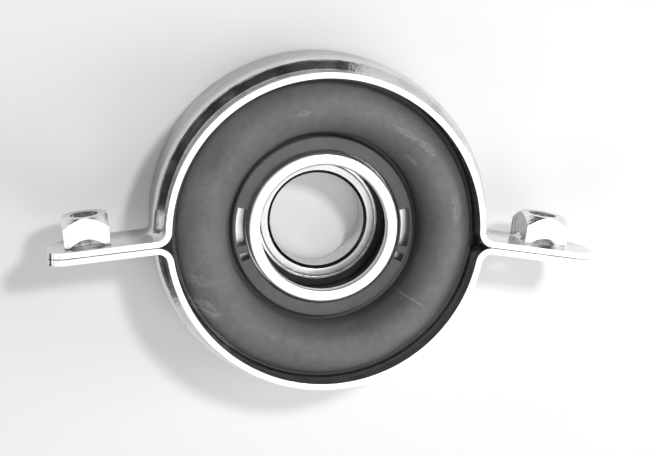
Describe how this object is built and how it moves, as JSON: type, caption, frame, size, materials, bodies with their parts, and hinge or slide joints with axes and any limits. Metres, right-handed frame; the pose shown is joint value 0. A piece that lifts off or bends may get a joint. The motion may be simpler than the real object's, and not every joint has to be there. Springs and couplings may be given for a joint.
{
  "type": "driveshaft centre bearing",
  "caption": "Ball bearing in a rubber cushion, clamped between two pressed straps with ears and weld nuts; carries the middle of a split driveshaft.",
  "frame": {"origin": "on the shaft's axis, at the bearing sleeve's rear rim, on which the part stands", "axes": "+Z along the shaft's axis towards the dust cover, +X towards the right ear, +Y towards the weld nuts"},
  "size_m": [0.1688, 0.1056, 0.0375],
  "materials": {
    "zinc_plated_steel": "bright zinc plating on pressed sheet",
    "cushion_rubber": "moulded, satin with light scuffs",
    "ground_bearing_steel": "ground and honed",
    "seal_rubber": "moulded, satin",
    "cage_polyamide": "moulded, glass filled"
  },
  "bodies": {
    "housing": {"upper_strap": "zinc_plated_steel", "lower_strap": "zinc_plated_steel", "left_nut": "zinc_plated_steel", "right_nut": "zinc_plated_steel", "rubber_cushion": "cushion_rubber", "bearing_sleeve": "zinc_plated_steel", "front_dust_cover": "zinc_plated_steel", "outer_race": "ground_bearing_steel", "front_seal": "seal_rubber", "rear_seal": "seal_rubber"},
    "inner_ring": {"inner_race": "ground_bearing_steel", "front_flinger": "zinc_plated_steel", "rear_flinger": "zinc_plated_steel"},
    "cage": {"ball_cage": "cage_polyamide", "ball_01": "ground_bearing_steel", "ball_02": "ground_bearing_steel", "ball_03": "ground_bearing_steel", "ball_04": "ground_bearing_steel", "ball_05": "ground_bearing_steel", "ball_06": "ground_bearing_steel", "ball_07": "ground_bearing_steel", "ball_08": "ground_bearing_steel", "ball_09": "ground_bearing_steel", "ball_10": "ground_bearing_steel", "ball_11": "ground_bearing_steel"}
  },
  "joints": [
    {"name": "inner_ring_spin", "type": "hinge", "parent": "housing", "child": "inner_ring", "pos_m": [0, 0, 0.008], "axis": [0, 0, 1], "continuous": true},
    {"name": "cage_spin", "type": "hinge", "parent": "housing", "child": "cage", "pos_m": [0, 0, 0.008], "axis": [0, 0, 1], "continuous": true}
  ],
  "couplings": [
    {"joint": "cage_spin", "follows": "inner_ring_spin", "ratio": 0.41595}
  ]
}
